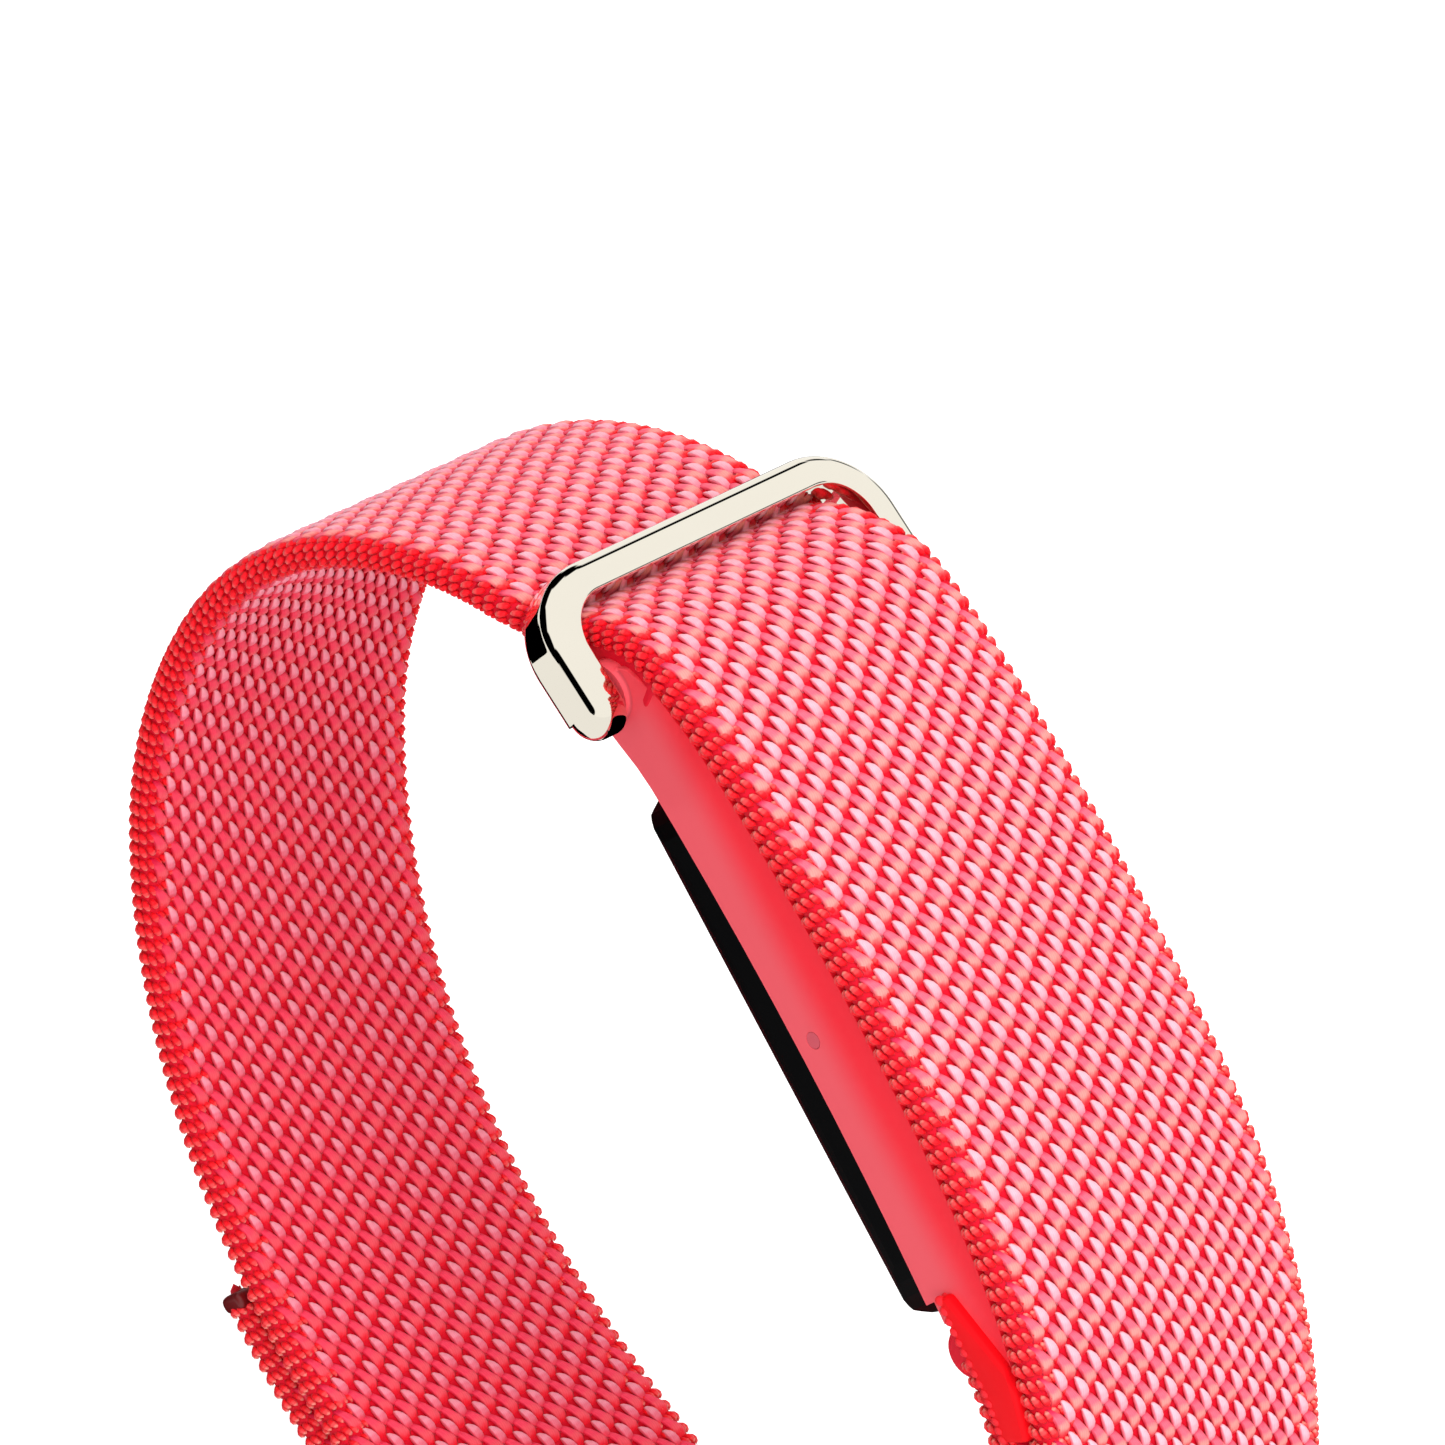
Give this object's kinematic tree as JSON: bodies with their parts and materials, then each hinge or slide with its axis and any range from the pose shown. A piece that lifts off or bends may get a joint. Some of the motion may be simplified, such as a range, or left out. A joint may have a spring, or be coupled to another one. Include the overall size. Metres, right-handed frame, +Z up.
{
  "type": "fitness tracker band",
  "caption": "Screenless fitness tracker: woven strap wound through a metal ring and over a moulded cradle that holds a sealed sensor pebble on the wrist side.",
  "frame": {"origin": "middle of the bounding box in X and Y, on the surface that the band stands on", "axes": "+Z up as the band stands on its edge-on loop, +Y across the width of the strap, +X from the plain side of the loop towards the cradle side"},
  "size_m": [0.0616, 0.0224, 0.0647],
  "materials": {
    "woven_coral": "woven, lustrous pale floats over coral and red yarns",
    "moulded_coral": "smooth matte moulding",
    "polished_metal": "mirror polished, warm tint",
    "plain_steel": "drawn wire and tube",
    "hook_tape": "moulded hooks on tape",
    "thread": "sewing thread",
    "dark_tip": "soft moulded tip",
    "gloss_black": "glossy moulding",
    "black_rubber": "gasket",
    "dark_window": "smoked optical window",
    "red_window": "tinted light window",
    "gold_plate": "gold plated",
    "matte_black": "light barrier",
    "board_green": "solder mask",
    "chip_black": "moulded chip package",
    "flex_amber": "flexible circuit film",
    "can_metal": "pressed thin sheet",
    "cell_foil": "pouch foil",
    "copper": "enamelled copper wire",
    "lens_clear": "clear light pipe",
    "led_body": "light emitter package",
    "grey_foam": "foam pad"
  },
  "bodies": {
    "band": {"woven_strap": "woven_coral", "strap_end_bar": "plain_steel", "cradle": "moulded_coral", "status_window": "red_window", "ring_bar_tube": "plain_steel", "ring_bar_spring": "plain_steel", "ring_bar_tip_near": "plain_steel", "ring_bar_tip_far": "plain_steel"},
    "ring": {"ring": "polished_metal"},
    "free_end": {"strap_tail": "woven_coral", "hook_tape": "hook_tape", "tail_stitches": "thread", "strap_tip": "dark_tip"},
    "pebble": {"pebble_base": "gloss_black", "pebble_lid": "gloss_black", "shell_seal": "black_rubber", "sensor_window": "dark_window", "charge_contacts": "gold_plate", "skin_temperature_pad": "plain_steel", "charger_magnets": "plain_steel", "optical_barrier": "matte_black", "green_leds": "led_body", "red_infrared_led": "led_body", "photodiodes": "chip_black", "sensor_flex": "flex_amber", "main_board": "board_green", "processor_chip": "chip_black", "memory_chip": "chip_black", "motion_sensor": "chip_black", "radio_chip": "chip_black", "radio_shield": "can_metal", "battery_connector": "led_body", "battery_cell": "cell_foil", "battery_lead": "flex_amber", "battery_foam": "grey_foam", "antenna_strip": "gold_plate", "status_led": "led_body", "light_pipe": "lens_clear", "motor_case": "can_metal", "motor_coil": "copper", "motor_spring": "plain_steel"},
    "motor_mass": {"motor_mass": "plain_steel"}
  },
  "joints": [
    {"name": "ring_swing", "type": "hinge", "parent": "band", "child": "ring", "pos_m": [0.00198, 0, 0.05985], "axis": [0, 1, 0], "range_deg": [0, 18]},
    {"name": "pebble_release", "type": "slide", "parent": "band", "child": "pebble", "axis": [-0.766, 0, -0.6428], "range_m": [0, 0.01]},
    {"name": "free_end_peel", "type": "hinge", "parent": "band", "child": "free_end", "pos_m": [-0.0109, 0, 0.00358], "axis": [0, -1, 0], "range_deg": [0, 40]},
    {"name": "motor_shake", "type": "slide", "parent": "pebble", "child": "motor_mass", "axis": [0.766, 0, 0.6428], "range_m": [-0.00025, 0.00025], "stiffness_N_per_m": 120}
  ]
}
